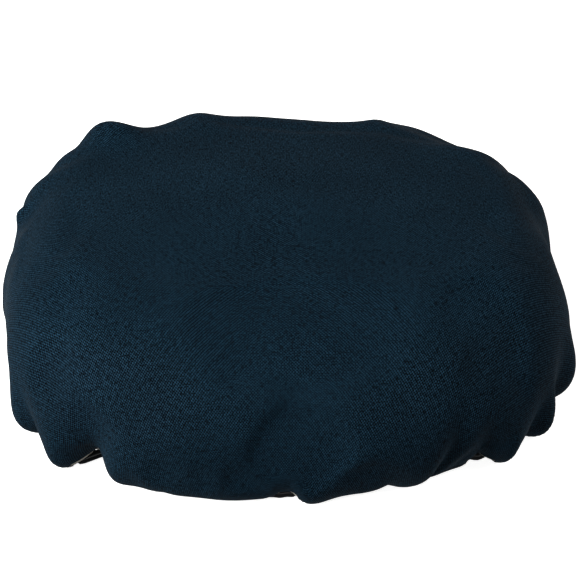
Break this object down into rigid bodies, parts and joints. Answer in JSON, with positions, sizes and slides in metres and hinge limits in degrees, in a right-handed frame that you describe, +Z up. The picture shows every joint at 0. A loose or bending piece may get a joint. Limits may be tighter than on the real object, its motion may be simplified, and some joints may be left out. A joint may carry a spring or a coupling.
{
  "type": "seat cushion",
  "caption": "Thick rounded office chair seat cushion: layered foam in a liner, under a woven cover gathered beneath by an elastic hem round a dotted grip mat.",
  "frame": {"origin": "on the resting plane, under the centre of the overall bounding box", "axes": "+Z up, -Y towards the front edge of the seat, +X to the right as seen from the front"},
  "size_m": [0.5201, 0.488, 0.1475],
  "materials": {
    "cover_weave": "woven",
    "backing_fleece": "brushed",
    "hem_tape": "woven",
    "elastic_braid": "braided",
    "sewing_thread": "twisted",
    "liner_cotton": "woven",
    "overlock_thread": "twisted",
    "polyester_batting": "fluffy",
    "comfort_foam": "open_cell",
    "support_foam": "open_cell",
    "grip_mat": "moulded"
  },
  "bodies": {
    "root": {"outer_cover": "cover_weave", "cover_backing": "backing_fleece", "hem_tape": "hem_tape", "hem_elastic": "elastic_braid", "hem_thread": "sewing_thread", "liner_top": "liner_cotton", "liner_base": "liner_cotton", "liner_seam": "overlock_thread", "fibre_wrap": "polyester_batting", "comfort_foam": "comfort_foam", "support_foam": "support_foam", "grip_mat": "grip_mat"}
  },
  "joints": []
}
